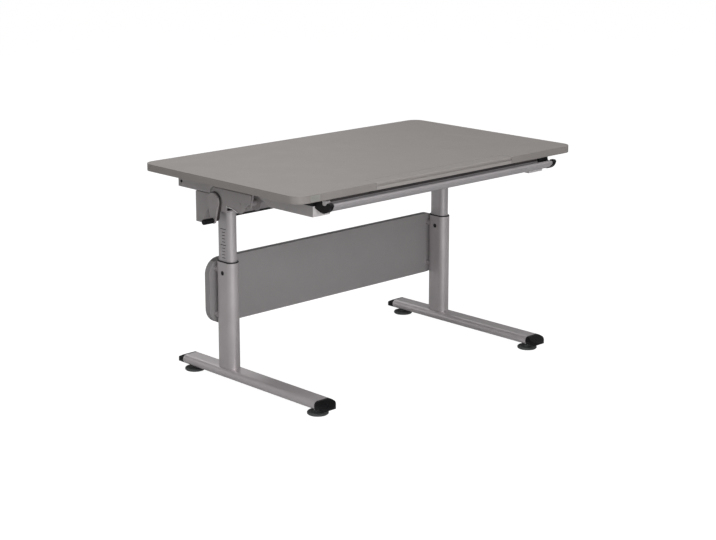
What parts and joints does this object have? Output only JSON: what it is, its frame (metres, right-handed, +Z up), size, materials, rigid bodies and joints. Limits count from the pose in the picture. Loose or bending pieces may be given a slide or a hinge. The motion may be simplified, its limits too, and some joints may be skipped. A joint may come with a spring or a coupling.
{
  "type": "children's desk",
  "caption": "Children's desk with a tilting top, telescoping columns, T feet, a modesty panel, a hook rail and a flush stop strip.",
  "frame": {"origin": "on the floor under the middle of the whole footprint", "axes": "+X to the right for someone sitting at the desk, +Y away from them, +Z up"},
  "size_m": [1.2, 0.738, 0.675],
  "materials": {
    "top_board": "board with a warm grey fine-textured laminate",
    "panel_board": "board with a warm grey fine-textured laminate",
    "badge_metal": "satin, blank",
    "frame_paint": "satin grey powder coat",
    "leg_paint": "satin silver-grey powder coat",
    "column_steel": "satin",
    "rail_aluminium": "satin anodised",
    "black_plastic": "fine matt",
    "glide_plastic": "dark grey matt",
    "dark_steel": "blackened",
    "zinc_steel": "zinc plated"
  },
  "bodies": {
    "base": {"left_outer_column": "leg_paint", "right_outer_column": "leg_paint", "left_column_bush": "black_plastic", "right_column_bush": "black_plastic", "clamp_inserts": "black_plastic", "column_base_plates": "zinc_steel", "column_bolts": "zinc_steel", "modesty_panel": "panel_board", "panel_spacers": "leg_paint", "panel_screws": "zinc_steel", "left_foot_tube": "leg_paint", "right_foot_tube": "leg_paint", "left_front_foot_cap": "black_plastic", "left_rear_foot_cap": "black_plastic", "right_front_foot_cap": "black_plastic", "right_rear_foot_cap": "black_plastic", "glide_inserts": "zinc_steel"},
    "lift_frame": {"left_inner_column": "column_steel", "right_inner_column": "column_steel", "column_guides": "black_plastic", "left_head_bracket": "frame_paint", "right_head_bracket": "frame_paint", "cross_beam": "frame_paint", "beam_screws": "zinc_steel", "pivot_pins": "zinc_steel", "pivot_spacers": "black_plastic", "shaft_bushes": "black_plastic"},
    "tilting_top": {"tabletop": "top_board", "strip_carrier": "frame_paint", "strip_guide_pins": "zinc_steel", "carrier_screws": "zinc_steel", "badge_plate": "badge_metal", "left_side_rail": "frame_paint", "right_side_rail": "frame_paint", "rail_screws": "zinc_steel", "left_tilt_plate": "zinc_steel", "right_tilt_plate": "zinc_steel", "tilt_plate_bolts": "zinc_steel", "front_rail": "rail_aluminium", "front_rail_bolts": "zinc_steel", "left_hook_cap": "black_plastic", "right_hook_cap": "black_plastic", "hook_cap_screws": "zinc_steel"},
    "stop_strip": {"stop_strip": "top_board"},
    "release_lever": {"release_lever": "frame_paint", "grip_pin": "zinc_steel", "lever_grip": "black_plastic", "lever_spring": "zinc_steel", "release_shaft": "zinc_steel", "ratchet_pawls": "zinc_steel"},
    "left_clamp_screw": {"left_clamp_screw": "dark_steel"},
    "right_clamp_screw": {"right_clamp_screw": "dark_steel"},
    "left_front_glide": {"left_front_glide": "glide_plastic", "left_front_glide_stem": "zinc_steel"},
    "left_rear_glide": {"left_rear_glide": "glide_plastic", "left_rear_glide_stem": "zinc_steel"},
    "right_front_glide": {"right_front_glide": "glide_plastic", "right_front_glide_stem": "zinc_steel"},
    "right_rear_glide": {"right_rear_glide": "glide_plastic", "right_rear_glide_stem": "zinc_steel"}
  },
  "joints": [
    {"name": "height adjustment", "type": "slide", "parent": "base", "child": "lift_frame", "axis": [0, 0, 1], "range_m": [-0.125, 0.125]},
    {"name": "tabletop tilt", "type": "hinge", "parent": "lift_frame", "child": "tilting_top", "pos_m": [0, 0.0235, 0.58], "axis": [1, 0, 0], "range_deg": [0, 15]},
    {"name": "lever release", "type": "hinge", "parent": "lift_frame", "child": "release_lever", "pos_m": [0, 0.1385, 0.575], "axis": [-1, 0, 0], "range_deg": [0, 25], "stiffness_Nm_per_rad": 0.8, "springref_deg": -17.19},
    {"name": "stop strip lift", "type": "slide", "parent": "tilting_top", "child": "stop_strip", "axis": [0, 0, 1], "range_m": [0, 0.01]},
    {"name": "left clamp screw turn", "type": "hinge", "parent": "base", "child": "left_clamp_screw", "pos_m": [-0.4685, 0.1215, 0.351], "axis": [1, 0, 0], "continuous": true},
    {"name": "right clamp screw turn", "type": "hinge", "parent": "base", "child": "right_clamp_screw", "pos_m": [0.4685, 0.1215, 0.351], "axis": [1, 0, 0], "continuous": true},
    {"name": "left front glide levelling", "type": "slide", "parent": "base", "child": "left_front_glide", "axis": [0, 0, -1], "range_m": [0, 0.01]},
    {"name": "left rear glide levelling", "type": "slide", "parent": "base", "child": "left_rear_glide", "axis": [0, 0, -1], "range_m": [0, 0.01]},
    {"name": "right front glide levelling", "type": "slide", "parent": "base", "child": "right_front_glide", "axis": [0, 0, -1], "range_m": [0, 0.01]},
    {"name": "right rear glide levelling", "type": "slide", "parent": "base", "child": "right_rear_glide", "axis": [0, 0, -1], "range_m": [0, 0.01]}
  ]
}
